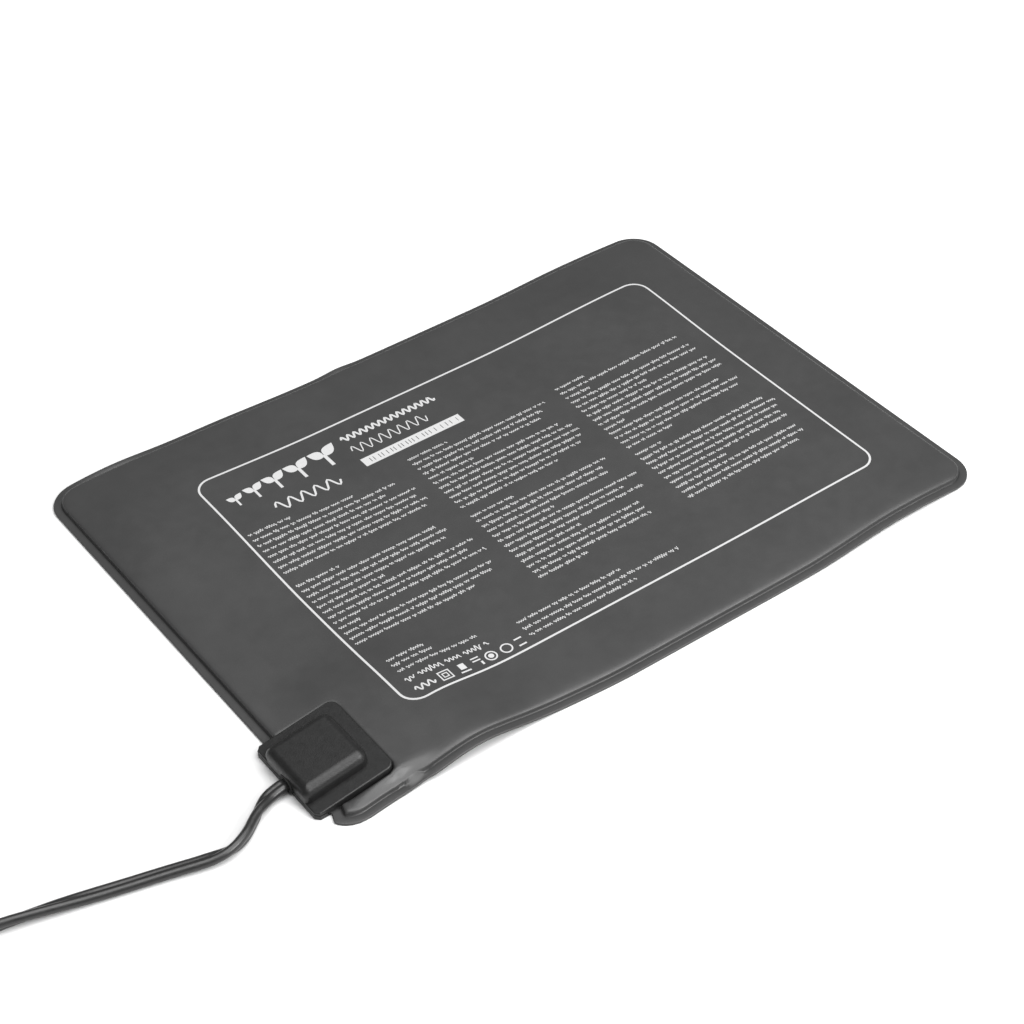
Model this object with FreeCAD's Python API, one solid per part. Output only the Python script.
"""Seedling heat mat: a flat heated mat with a terminal box at one corner, a flat twin lead and a plug.

Frame, in millimetres: X along the mat's long side, Y along its short side, +Z up. The origin is the
centre of the mat's underside, which lies on the table at z = 0.
"""
import FreeCAD, Part
import math
import os

V = FreeCAD.Vector
UP = V(0, 0, 1)

# ---- mat ----
mat_length = 350.0
mat_width = 250.0
mat_corner = 15.0
sheet = 0.5              # thickness of each cover sheet
rim = 5.0                # width of the welded rim
core_height = 3.65       # top of the heated core
shoulder = 2.2           # rounding along the core's top edge
foam_top = 1.7
fleece_top = 1.9
foil_bottom = 3.0
foil_top = core_height - sheet
foil_inset = rim + sheet + shoulder

# ---- heating wire ----
wire_radius = 0.5
wire_z = 2.45
wire_rows = 14
wire_pitch = 17.0
wire_bend = 5.0
wire_right = 158.0       # where the rows turn at the far end
wire_left = -151.0       # where the rows turn beside the long return run
wire_left_box = -129.0   # where they turn in front of the box
wire_return = -162.0     # the return run along the mat's short side

# ---- terminal box ----
box_outer = -180.3       # side that the lead leaves from
box_inner = -142.3
box_low = -115.6
box_high = -69.6
box_corner = 4.0
box_chamfer = 1.8
box_slope = math.radians(8.2)
flange_top = 3.4         # top of the flange at its outer side
flange = 1.9
skirt = 1.5
parting = 1.95           # height of the joint between the two shells
joint_gap = 0.45         # shadow line round the joint, in the cover
joint_depth = 0.35
base_floor = 1.0
dome_size = 31.5         # along both sides, at its foot
dome_low = -108.6
dome_height = 7.0
dome_round = 4.2
dome_corner = 4.5
dome_wall = 1.6
notch_gap = 0.25
lip = 3.0                # welded lip that the shells clamp
lip_bottom = 1.2
lip_top = lip_bottom + sheet

# ---- lead ----
cord_width = 6.3
cord_thick = 4.0
lead_y = -93.8
lead_z = 3.4
gland_face = box_outer - 0.8
core_radius = 1.1
core_spread = 1.3        # from the lead's middle to each core
wires_y = (-82.5, -101.0)
wiring_z = 3.2           # height of the crimps and the thermal fuse

# ---- coil and plug ----
coil_x = -345.0
coil_y = -44.0
coil_inner = 25.6
coil_outer = 42.6
tie_thick = 0.6
tie_width = 8.0
tie_gap = 0.4
coil_height = 12.9
tie_angle = 35.0
plug_x = -300.0          # the plug's middle
plug_y = 36.0
plug_height = 20.0
plug_half = 25.0
face_plate = 4.0
pin_row = -10.5          # live and neutral pins, from the plug's middle towards its lead
pin_gap = 22.2
earth_pin_x = 11.7
pin_inside = 6.0
pocket = (9.5, 30.0)
pocket_floor = 9.4
fuse_z = 14.4
fuse_radius = 3.175
fuse_length = 25.4
carrier_gap = 0.2


def prism(x0, x1, y0, y1, z0, z1, corners=(0, 0, 0, 0), chamfers=()):
    """An upright block. corners are the plan radii at (x0,y0), (x1,y0), (x1,y1), (x0,y1).
    A corner whose number is in chamfers is cut straight instead of rounded."""
    spots = [(x0, y0, 1, 1), (x1, y0, -1, 1), (x1, y1, -1, -1), (x0, y1, 1, -1)]
    edges = []
    ends = []
    for number, (x, y, sx, sy) in enumerate(spots):
        radius = corners[number]
        along_x = V(x + sx * radius, y, z0)
        along_y = V(x, y + sy * radius, z0)
        first, last = (along_y, along_x) if number % 2 == 0 else (along_x, along_y)
        ends.append((first, last))
        if radius and number in chamfers:
            edges.append((number, Part.makeLine(first, last)))
        elif radius:
            reach = radius * (1 - math.sqrt(0.5))
            middle = V(x + sx * reach, y + sy * reach, z0)
            edges.append((number, Part.Arc(first, middle, last).toShape()))
    outline = []
    corner_edges = dict(edges)
    for number in range(4):
        if number in corner_edges:
            outline.append(corner_edges[number])
        outline.append(Part.makeLine(ends[number][1], ends[(number + 1) % 4][0]))
    face = Part.Face(Part.Wire(outline))
    return face.extrude(V(0, 0, z1 - z0))


def slab(inset, z0, z1):
    """The mat's outline, drawn in by inset, as a plate."""
    radius = max(mat_corner - inset, 2.0)
    half_x = mat_length / 2 - inset
    half_y = mat_width / 2 - inset
    return prism(-half_x, half_x, -half_y, half_y, z0, z1, (radius,) * 4)


def box_plate(grow, z0, z1):
    """The terminal box's outline, grown by grow, as an upright block."""
    radius = box_corner + grow
    cut = box_chamfer + grow * 0.4
    return prism(box_outer - grow, box_inner + grow, box_low - grow, box_high + grow, z0, z1,
                 (cut, radius, radius, cut), chamfers=(0, 3))


def bar(x0, x1, y0, y1, z0, z1):
    return Part.makeBox(x1 - x0, y1 - y0, z1 - z0, V(x0, y0, z0))


def rod(x, y, z0, z1, radius):
    return Part.makeCylinder(radius, z1 - z0, V(x, y, z0), UP)


def rod_x(x0, x1, y, z, radius):
    return Part.makeCylinder(radius, x1 - x0, V(x0, y, z), V(1, 0, 0))


def rod_y(x, y0, y1, z, radius):
    return Part.makeCylinder(radius, y1 - y0, V(x, y0, z), V(0, 1, 0))


def round_top(solid, radius, height):
    """Round the edges that lie wholly at one height."""
    edges = [e for e in solid.Edges if abs(e.BoundBox.ZMin - height) < 1e-4
             and abs(e.BoundBox.ZMax - height) < 1e-4]
    return solid.makeFillet(radius, edges)


def route_wire(points, radius=None):
    """Straight runs joined by tangent arcs. Without a radius each arc is as large as its runs allow."""
    pts = [V(*p) for p in points]
    edges = []
    radii = []
    start = pts[0]
    for before, here, after in zip(pts, pts[1:], pts[2:]):
        inward = (before - here).normalize()
        outward = (after - here).normalize()
        turn = math.pi - inward.getAngle(outward)
        shorter = min(before.distanceToPoint(here), here.distanceToPoint(after))
        size = radius if radius else 0.45 * shorter / math.tan(turn / 2)
        reach = size * math.tan(turn / 2)
        first = here + inward * reach
        last = here + outward * reach
        bisector = (inward + outward).normalize()
        middle = here + bisector * (size / math.cos(turn / 2) - size)
        edges.append(Part.makeLine(start, first))
        edges.append(Part.Arc(first, middle, last).toShape())
        radii.append(size)
        start = last
    edges.append(Part.makeLine(start, pts[-1]))
    return Part.Wire(edges), radii


def tube(points, size, radius=None):
    """A round bar along a route."""
    wire, radii = route_wire(points, radius)
    start = V(*points[0])
    ahead = V(*points[1]) - start
    section = Part.Wire([Part.makeCircle(size, start, ahead)])
    solid = wire.makePipeShell([section], True, True)
    return Part.Solid(solid.Shells[0]), wire.Length, radii


def flat_section(y, z, width, thick, x0, x1):
    """A bar along X with the flat twin lead's section: two lobes joined by a web."""
    lobe = thick / 2
    offset = width / 2 - lobe
    web = bar(x0, x1, y - offset, y + offset, z - lobe * 0.82, z + lobe * 0.82)
    lobes = [rod_x(x0, x1, y + side * offset, z, lobe) for side in (-1, 1)]
    return web.fuse(lobes).removeSplitter()


# ---- the mat ----

def notch(z0, z1, grow=0.0):
    """The space that the box takes out of the mat, open at the mat's short edge."""
    gap = notch_gap + grow
    return prism(-mat_length / 2 - 20, box_inner + gap, box_low - gap, box_high + gap, z0, z1,
                 (0, box_corner + gap, box_corner + gap, 0))


def make_top_cover_sheet():
    core = round_top(slab(rim, 0, core_height), shoulder, core_height)
    hollow = round_top(slab(rim + sheet, -1, foil_top), shoulder - sheet, foil_top)
    outer = slab(0, sheet, 2 * sheet).fuse(core.common(slab(0, sheet, core_height + 1)))
    shell = outer.cut(hollow)
    wall = core.common(notch(sheet, core_height, sheet)).cut(notch(-1, core_height + 1))
    clamp_lip = notch(lip_bottom, lip_top, 0.01).cut(notch(0, 4, -notch_gap - lip))
    clamp_lip = clamp_lip.common(slab(1.0, 0, 4))
    shell = shell.cut(notch(-1, core_height + 1)).fuse([wall, clamp_lip]).removeSplitter()
    for y in wires_y:
        shell = shell.cut(rod_x(box_inner - 1, box_inner + 3, y, wire_z, wire_radius + 0.05))
    return shell


def make_layer(inset, z0, z1):
    return slab(inset, z0, z1).cut(notch(-1, core_height + 1, sheet + 0.05))


def heater_route():
    """Rows along the mat from the box and back, then the return run along the short side."""
    low = -wire_pitch * (wire_rows - 1) / 2
    ends = [(box_inner - 5.0, wiring_z), (box_inner - 3.2, wiring_z), (box_inner - 0.6, wire_z)]
    points = [(x, wires_y[1], z) for x, z in ends]
    points.append((box_inner + 5.5, wires_y[1], wire_z))
    points.append((box_inner + 10.5, low, wire_z))
    for row in range(wire_rows):
        y = low + row * wire_pitch
        left = wire_left_box if y < box_high + 12 else wire_left
        next_left = wire_left_box if y + wire_pitch < box_high + 12 else wire_left
        if row % 2 == 0:
            points.append((wire_right, y, wire_z))
            points.append((wire_right, y + wire_pitch, wire_z))
        elif row < wire_rows - 1:
            points.append((max(left, next_left), y, wire_z))
            points.append((max(left, next_left), y + wire_pitch, wire_z))
    points.append((wire_return, low + (wire_rows - 1) * wire_pitch, wire_z))
    points.append((wire_return, box_high + 8, wire_z))
    points.append((box_inner + 7.5, box_high + 8, wire_z))
    points.append((box_inner + 7.5, wires_y[0], wire_z))
    points.extend((x, wires_y[0], z) for x, z in reversed(ends))
    return points


# ---- the terminal box ----

def tilt(solid):
    """Turn a solid built on the plane z = flange_top so that it lies on the sloping flange."""
    solid = solid.copy()
    solid.rotate(V(box_outer, 0, flange_top), V(0, 1, 0), -math.degrees(box_slope))
    return solid


def above_flange(depth):
    """Everything above the flange's top plane, lowered by depth."""
    return tilt(bar(box_outer - 60, box_inner + 60, -180, 0, flange_top - depth, flange_top + 60))


def dome_block(inset, height):
    x0 = box_outer + inset
    block = prism(x0, box_outer + dome_size - inset, dome_low + inset, dome_low + dome_size - inset,
                  flange_top - 12, flange_top + height, (2.5, dome_corner, dome_corner, 2.5))
    return tilt(round_top(block, max(dome_round - inset, 1.0), flange_top + height))


def screw_spots():
    near = (box_outer + 6.5, box_inner - 6.2)
    return [(near[0], dome_low + 4.4), (near[0], dome_low + dome_size - 4.4),
            (near[1], box_low + 6.2), (near[1], box_high - 6.2)]


def gland_opening(x0, x1, grow):
    width = cord_width / 2 + grow
    height = cord_thick / 2 + grow
    block = bar(x0, x1, lead_y - width, lead_y + width, lead_z - height, lead_z + height)
    edges = [e for e in block.Edges if abs(e.BoundBox.XMax - e.BoundBox.XMin - (x1 - x0)) < 1e-6]
    return block.makeFillet(height * 0.8, edges)


def gland_pocket():
    """Room for the gland's inner flange, in both shells."""
    return bar(box_outer + skirt, box_outer + 3, lead_y - 4.6, lead_y + 4.6, 0.5, lead_z + 3.5)


def make_box_cover():
    wedge = box_plate(0, parting, 40).cut(above_flange(0))
    top_edges = [e for e in wedge.Edges if e.BoundBox.ZMin > flange_top - 0.05]
    wedge = wedge.makeFillet(0.55, top_edges)
    room = box_plate(-skirt, parting - 1, 40).cut(above_flange(flange))
    body = wedge.cut(room)
    above_parting = bar(box_outer - 5, box_inner + 5, box_low - 5, box_high + 5, parting, 40)
    body = body.fuse(dome_block(0, dome_height).common(above_parting).cut(room))
    body = body.cut(dome_block(dome_wall, dome_height - dome_wall))
    joint = box_plate(0.5, parting - 1, parting + joint_gap).cut(box_plate(-joint_depth, 0, 5))
    body = body.cut(joint.common(bar(box_outer - 5, -mat_length / 2 - 0.3, box_low - 5, box_high + 5, 0, 5)))
    bosses = []
    holes = []
    for x, y in screw_spots():
        pillar = rod(x, y, base_floor + 2.3, 30, 2.4)
        limit = box_plate(-0.5, 0, 40).cut(above_flange(0.5)).fuse(dome_block(0.5, dome_height - 0.5))
        bosses.append(pillar.common(limit))
        holes.append(rod(x, y, 0, base_floor + 5.2, 1.02))
    body = body.fuse(bosses).cut(holes)
    body = body.cut([gland_opening(box_outer - 2, box_outer + 3, 0.9), gland_pocket(),
                     gland_opening(gland_face - 1, box_outer, 1.3)])
    for y in wires_y:
        body = body.cut(bar(box_inner - 3, box_inner + 1, y - 0.9, y + 0.9, parting - 1, wire_z + 1.4))
    return body.removeSplitter()


def make_box_base():
    floor = box_plate(0, 0, base_floor)
    rim_wall = box_plate(0, 0, parting).cut(box_plate(-skirt, -1, parting + 1))
    outside_mat = bar(box_outer - 5, -mat_length / 2 - 0.3, box_low - 5, box_high + 5, -1, 5)
    base = floor.fuse(rim_wall.common(outside_mat))
    saddle = bar(box_outer + 4.0, box_outer + 8.0, lead_y - 7.4, lead_y + 7.4, base_floor,
                 lead_z - cord_thick / 2)
    base = base.fuse(saddle)
    pads = []
    holes = []
    for x, y in screw_spots():
        pads.append(rod(x, y, base_floor, base_floor + 2.3, 2.4))
        holes.append(rod(x, y, -1, 1.3, 2.05))
        holes.append(rod(x, y, -1, 6, 1.15))
    for side in (-1, 1):
        holes.append(rod(box_outer + 6.0, lead_y + side * 5.4, base_floor - 0.8, 6, 0.62))
    base = base.fuse(pads).cut(holes)
    return base.cut([gland_opening(box_outer - 2, box_outer + 3, 0.9), gland_pocket()]).removeSplitter()


def make_seal(z0, z1):
    """A strip that runs around the three clamped sides, over or under the welded lip."""
    ring = box_plate(-0.1, z0, z1).cut(box_plate(-skirt, z0 - 1, z1 + 1))
    seal = ring.common(bar(-mat_length / 2 + 0.4, 0, box_low - 5, box_high + 5, z0 - 1, z1 + 1))
    return seal


def make_cord_gland():
    neck = gland_opening(box_outer - 0.1, box_outer + skirt + 0.1, 0.88)
    outer = gland_opening(gland_face, box_outer - 0.05, 1.2)
    inner = gland_opening(box_outer + skirt + 0.05, box_outer + 2.6, 1.2)
    inner = inner.common(bar(box_outer, box_outer + 4, lead_y - 9, lead_y + 9, 0.52, 9))
    gland = neck.fuse([outer, inner])
    tunnel = flat_section(lead_y, lead_z, cord_width, cord_thick, gland_face - 1, box_outer + 4)
    return gland.cut(tunnel).removeSplitter()


def make_clamp():
    x0 = box_outer + 4.0
    block = bar(x0, x0 + 4.0, lead_y - 7.4, lead_y + 7.4, lead_z - cord_thick / 2 + 0.02,
                lead_z + cord_thick / 2 + 1.3)
    block = block.cut(bar(x0 - 1, x0 + 5, lead_y - cord_width / 2, lead_y + cord_width / 2,
                          lead_z - 5, lead_z + cord_thick / 2))
    holes = [rod(x0 + 2.0, lead_y + side * 5.4, 0, 12, 0.75) for side in (-1, 1)]
    return block.cut(holes)


def make_clamp_screws():
    top = lead_z + cord_thick / 2 + 1.3
    screws = []
    for side in (-1, 1):
        x, y = box_outer + 6.0, lead_y + side * 5.4
        head = rod(x, y, top, top + 0.9, 1.3).cut(bar(x - 0.25, x + 0.25, y - 2, y + 2, top + 0.5, top + 2))
        screws.append(head.fuse(rod(x, y, base_floor - 0.6, top, 0.6)))
    return Part.makeCompound(screws)


def make_cover_screws():
    screws = []
    for x, y in screw_spots():
        head = rod(x, y, 0.25, 1.3, 1.9)
        cross = bar(x - 1.2, x + 1.2, y - 0.2, y + 0.2, 0, 0.7).fuse(
            bar(x - 0.2, x + 0.2, y - 1.2, y + 1.2, 0, 0.7))
        screws.append(head.cut(cross).fuse(rod(x, y, 1.3, base_floor + 5.0, 1.0)))
    return Part.makeCompound(screws)


# ---- wiring inside the box, along X ----

jacket_end = box_outer + 9.5
live_crimp = (-167.0, -161.0)
fuse_body = (-159.6, -151.8)
heater_crimp = (-150.4, box_inner - 5.0)
neutral_crimp = (-157.0, -150.5)


def make_core(side, target_y, end_x):
    start = lead_y + side * core_spread
    points = [(jacket_end, start, lead_z), (jacket_end + 1.4, start, lead_z)]
    if side > 0:
        points.append((end_x - 1.0, target_y, wiring_z))
    else:
        points.append((jacket_end + 8.0, target_y, wiring_z))
    points.append((end_x, target_y, wiring_z))
    solid, _, _ = tube(points, core_radius)
    return solid


def make_crimp(span, y):
    barrel = rod_x(span[0], span[1], y, wiring_z, 1.35)
    dents = [Part.makeSphere(0.5, V(span[0] + share * (span[1] - span[0]), y, wiring_z + 1.55))
             for share in (0.3, 0.7)]
    return barrel.cut(dents)


def make_crimp_sleeves():
    sleeves = []
    for span, y in ((live_crimp, wires_y[0]), (heater_crimp, wires_y[0]), (neutral_crimp, wires_y[1])):
        outer = rod_x(span[0] + 0.3, span[1] - 0.3, y, wiring_z, 1.65)
        sleeves.append(outer.cut(rod_x(span[0] - 1, span[1] + 1, y, wiring_z, 1.36)))
    return Part.makeCompound(sleeves)


def make_thermal_fuse():
    y = wires_y[0]
    body = rod_x(fuse_body[0], fuse_body[1], y, wiring_z, 1.6)
    lead_in = rod_x(live_crimp[1], fuse_body[0], y, wiring_z, 0.45)
    lead_out = rod_x(fuse_body[1], heater_crimp[0], y, wiring_z, 0.45)
    return body.fuse([lead_in, lead_out]).removeSplitter()


def make_fuse_sleeve():
    y = wires_y[0]
    outer = rod_x(fuse_body[0] - 0.5, fuse_body[1] + 0.5, y, wiring_z, 1.95)
    return outer.cut(rod_x(fuse_body[0] - 1, fuse_body[1] + 1, y, wiring_z, 1.61))


# ---- lead outside the box ----

cord_z = cord_width / 2
lead_route = [
    (gland_face, lead_y, lead_z), (-188.8, -94.5, cord_z + 0.1), (-196.2, -97.2, cord_z),
    (-203.2, -101.4, cord_z), (-210.7, -104.5, cord_z), (-219.5, -105.7, cord_z),
    (-229.0, -104.7, cord_z), (-241.0, -102.4, cord_z), (-262.0, -97.9, cord_z),
    (-284.0, -92.3, cord_z), (-306.0, -87.6, cord_z), (-326.0, -85.2, cord_z),
    (coil_x, coil_y - 40.3, cord_z),
]
tail_route = [
    (coil_x - 39.6, coil_y, cord_z + 6.8), (coil_x - 40.4, coil_y + 16.0, cord_z + 6.5),
    (coil_x - 40.4, coil_y + 32.0, cord_z + 4.2), (coil_x - 39.6, coil_y + 48.8, cord_z + 1.2),
    (coil_x - 34.0, coil_y + 63.5, cord_z + 0.4), (coil_x - 23.0, coil_y + 74.4, cord_z + 1.6),
    (coil_x - 8.8, coil_y + 79.9, cord_z + 4.2), (coil_x + 7.0, plug_y, cord_z + 4.9),
]


def make_coil():
    ring = Part.makeCylinder(coil_outer, coil_height, V(coil_x, coil_y, tie_thick), UP)
    ring = ring.cut(Part.makeCylinder(coil_inner, coil_height + 2, V(coil_x, coil_y, 0), UP))
    return ring.makeFillet(2.0, [e for e in ring.Edges if len(e.Vertexes) == 1])


def make_tie():
    inside = coil_inner - tie_gap
    outside = coil_outer + tie_gap
    inner = bar(inside, outside, -tie_width, tie_width, tie_thick, tie_thick + coil_height + 0.1)
    outer = bar(inside - tie_thick, outside + tie_thick, -tie_width / 2, tie_width / 2,
                0, 2 * tie_thick + coil_height + 0.1)
    tie = outer.cut(inner)
    tie.rotate(V(0, 0, 0), UP, tie_angle)
    tie.translate(V(coil_x, coil_y, 0))
    return tie


# ---- plug, built about its own middle, pins up, lead towards -X ----

def place_plug(solid):
    solid = solid.copy()
    solid.translate(V(plug_x, plug_y, 0))
    return solid


def blade(x, y, half_x, half_y, z0, z1):
    block = bar(x - half_x, x + half_x, y - half_y, y + half_y, z0, z1)
    return block.makeFillet(0.7, [e for e in block.Edges if e.BoundBox.ZMin > z1 - 1e-4])


def pin_places():
    return [(pin_row, side * pin_gap / 2) for side in (-1, 1)]


relief_z = cord_z + 4.9
relief_length = 24.0


def make_plug_body():
    body = prism(-plug_half + 3, plug_half - 1, -plug_half, plug_half, 0, plug_height, (9, 14, 14, 9))
    body = body.makeFillet(4.0, [e for e in body.Edges if e.BoundBox.ZMax < 1e-4])
    body = round_top(body, 1.5, plug_height)
    recess = prism(-19.5, 21.5, -21.5, 21.5, plug_height - face_plate, plug_height + 1, (6, 11, 11, 6))
    room = bar(-pocket[0] / 2, pocket[0] / 2, -pocket[1] / 2, pocket[1] / 2, pocket_floor, plug_height + 1)
    cuts = [recess, room]
    for x, y in pin_places():
        cuts.append(bar(x - 2.1, x + 2.1, y - 3.3, y + 3.3, plug_height - face_plate - pin_inside,
                        plug_height))
    cuts.append(bar(earth_pin_x - 4.1, earth_pin_x + 4.1, -2.1, 2.1,
                    plug_height - face_plate - pin_inside, plug_height))
    return body.cut(cuts)


def make_plug_bridge():
    plate = prism(-19.4, 21.4, -21.4, 21.4, plug_height - face_plate, plug_height + 0.3, (5.9, 10.9, 10.9, 5.9))
    plate = round_top(plate, 0.25, plug_height + 0.3)
    cuts = [bar(-pocket[0] / 2, pocket[0] / 2, -pocket[1] / 2, pocket[1] / 2, 0, 40)]
    for x, y in pin_places():
        cuts.append(bar(x - 2.02, x + 2.02, y - 3.2, y + 3.2, 0, 40))
    cuts.append(bar(earth_pin_x - 4.02, earth_pin_x + 4.02, -2.02, 2.02, 0, 40))
    return plate.cut(cuts)


pin_top = plug_height + 0.3 + 17.7
sleeve_top = plug_height + 0.3 + 9.0


def make_power_pin(x, y):
    foot = plug_height - face_plate - pin_inside + 0.1
    pin = blade(x, y, 2.0, 3.175, foot, pin_top)
    waist = bar(x - 3, x + 3, y - 4, y + 4, plug_height + 0.3, sleeve_top).cut(
        bar(x - 1.5, x + 1.5, y - 2.675, y + 2.675, 0, 60))
    return pin.cut(waist)


def make_pin_sleeve(x, y):
    outer = bar(x - 2.0, x + 2.0, y - 3.175, y + 3.175, plug_height + 0.3, sleeve_top)
    return outer.cut(bar(x - 1.5, x + 1.5, y - 2.675, y + 2.675, 0, 60))


def make_earth_pin():
    foot = plug_height - face_plate - pin_inside + 0.1
    return blade(earth_pin_x, 0, 4.0, 2.0, foot, plug_height + 0.3 + 22.7)


def make_fuse_link():
    return rod_y(0, -fuse_length / 2 + 5.5, fuse_length / 2 - 5.5, fuse_z, fuse_radius - 0.25)


def make_fuse_caps():
    caps = [rod_y(0, fuse_length / 2 - 5.5, fuse_length / 2, fuse_z, fuse_radius),
            rod_y(0, -fuse_length / 2, -fuse_length / 2 + 5.5, fuse_z, fuse_radius)]
    return Part.makeCompound(caps)


def make_fuse_carrier():
    half_x = pocket[0] / 2 - carrier_gap
    half_y = pocket[1] / 2 - carrier_gap
    lid = bar(-half_x, half_x, -half_y, half_y, plug_height - 1.3, plug_height + 0.3)
    grip = bar(-half_x + 1, half_x - 1, -half_y + 1.2, -half_y + 2.2, plug_height - 0.3, plug_height + 1)
    cradle = bar(-half_x, half_x, -6.5, 6.5, fuse_z - 1.6, plug_height - 1.3)
    trough = rod_y(0, -8, 8, fuse_z, fuse_radius + 0.02).fuse(
        bar(-2.6, 2.6, -8, 8, fuse_z - 4, fuse_z))
    return lid.fuse(cradle).cut([trough, grip]).removeSplitter()


def make_fuse_clips():
    clips = []
    for side in (-1, 1):
        y0 = side * 9.6 - 2.3
        ring = rod_y(0, y0, y0 + 4.6, fuse_z, fuse_radius + 0.9)
        ring = ring.cut(rod_y(0, y0 - 1, y0 + 6, fuse_z, fuse_radius + 0.35))
        ring = ring.cut(bar(-8, 8, y0 - 1, y0 + 6, fuse_z + 1.2, fuse_z + 9))
        foot = bar(-2, 2, y0, y0 + 4.6, pocket_floor + 0.05, fuse_z - fuse_radius - 0.6)
        clips.append(ring.fuse(foot).removeSplitter())
    return Part.makeCompound(clips)


def make_strain_relief():
    """A tapered sleeve, from the plug's side out to the lead."""
    x1 = -plug_half + 3.0
    x0 = x1 - relief_length
    wide = Part.Wire([Part.makeCircle(5.4, V(x1, 0, relief_z), V(1, 0, 0))])
    slim = Part.Wire([Part.makeCircle(3.9, V(x0, 0, relief_z), V(1, 0, 0))])
    cone = Part.makeLoft([slim, wide], True)
    cone = cone.cut(rod_x(x0 - 1, x1 - 2.0, 0, relief_z, cord_width / 2 + 0.02))
    grooves = []
    for number in range(5):
        x = x0 + 3.6 + number * 3.6
        ring = rod_x(x, x + 1.3, 0, relief_z, 8).cut(rod_x(x - 1, x + 2, 0, relief_z, 3.75 + number * 0.22))
        grooves.append(ring.common(bar(x - 1, x + 3, -9, 9, relief_z - 9, relief_z - 1.2).fuse(
            bar(x - 1, x + 3, -9, 9, relief_z + 1.2, relief_z + 9))))
    return cone.cut(grooves)


def main():
    os.makedirs("parts", exist_ok=True)
    for name in os.listdir("parts"):
        os.remove(os.path.join("parts", name))
    parts = {}
    parts["top_cover_sheet"] = make_top_cover_sheet()
    parts["bottom_cover_sheet"] = slab(0, 0, sheet).cut(notch(-1, 2))
    parts["insulation_foam"] = make_layer(rim + sheet + 0.4, sheet, foam_top)
    parts["wire_carrier_fleece"] = make_layer(rim + sheet + 0.8, foam_top, fleece_top)
    parts["heat_spreader_foil"] = make_layer(foil_inset, foil_bottom, foil_top)
    heater, heater_length, _ = tube(heater_route(), wire_radius, wire_bend)
    parts["heating_wire"] = heater

    parts["box_cover"] = make_box_cover()
    parts["box_base"] = make_box_base()
    parts["lower_seal"] = make_seal(base_floor, lip_bottom)
    parts["upper_seal"] = make_seal(lip_top, parting)
    parts["cord_gland"] = make_cord_gland()
    parts["cord_inner_end"] = flat_section(lead_y, lead_z, cord_width, cord_thick, gland_face, jacket_end)
    parts["cord_clamp"] = make_clamp()
    parts["cord_clamp_screws"] = make_clamp_screws()
    parts["cover_screws"] = make_cover_screws()
    parts["live_core"] = make_core(1, wires_y[0], live_crimp[0])
    parts["neutral_core"] = make_core(-1, wires_y[1], neutral_crimp[0])
    parts["live_crimp"] = make_crimp(live_crimp, wires_y[0])
    parts["heater_crimp"] = make_crimp(heater_crimp, wires_y[0])
    parts["neutral_crimp"] = make_crimp(neutral_crimp, wires_y[1])
    parts["crimp_sleeves"] = make_crimp_sleeves()
    parts["thermal_fuse"] = make_thermal_fuse()
    parts["thermal_fuse_sleeve"] = make_fuse_sleeve()

    lead, lead_length, lead_radii = tube(lead_route, cord_width / 2)
    tail, tail_length, tail_radii = tube(tail_route, cord_width / 2)
    parts["lead_run"] = lead
    parts["lead_coil"] = make_coil()
    parts["lead_tail"] = tail
    parts["coil_tie"] = make_tie()

    parts["plug_body"] = place_plug(make_plug_body())
    parts["plug_bridge"] = place_plug(make_plug_bridge())
    for name, spot in zip(("neutral_pin", "live_pin"), pin_places()):
        parts[name] = place_plug(make_power_pin(*spot))
        parts[name + "_sleeve"] = place_plug(make_pin_sleeve(*spot))
    parts["earth_pin"] = place_plug(make_earth_pin())
    parts["fuse_clips"] = place_plug(make_fuse_clips())
    parts["fuse_carrier"] = place_plug(make_fuse_carrier())
    parts["fuse_tube"] = place_plug(make_fuse_link())
    parts["fuse_caps"] = place_plug(make_fuse_caps())
    parts["plug_strain_relief"] = place_plug(make_strain_relief())

    area = math.pi * (cord_width / 2) ** 2
    for label, solid, length, radii in (("lead", lead, lead_length, lead_radii),
                                        ("tail", tail, tail_length, tail_radii)):
        print(label, "length", round(length, 1), "volume/section*length",
              round(solid.Volume / (area * length), 4), "radii", [round(r, 1) for r in radii])
    print("heating wire", round(heater_length), "mm")
    for name, shape in parts.items():
        if not shape.isValid() or shape.Volume <= 0:
            print("BAD", name, shape.isValid(), shape.Volume)
        shape.exportStep("parts/%s.step" % name)
    print(len(parts), "parts")


main()
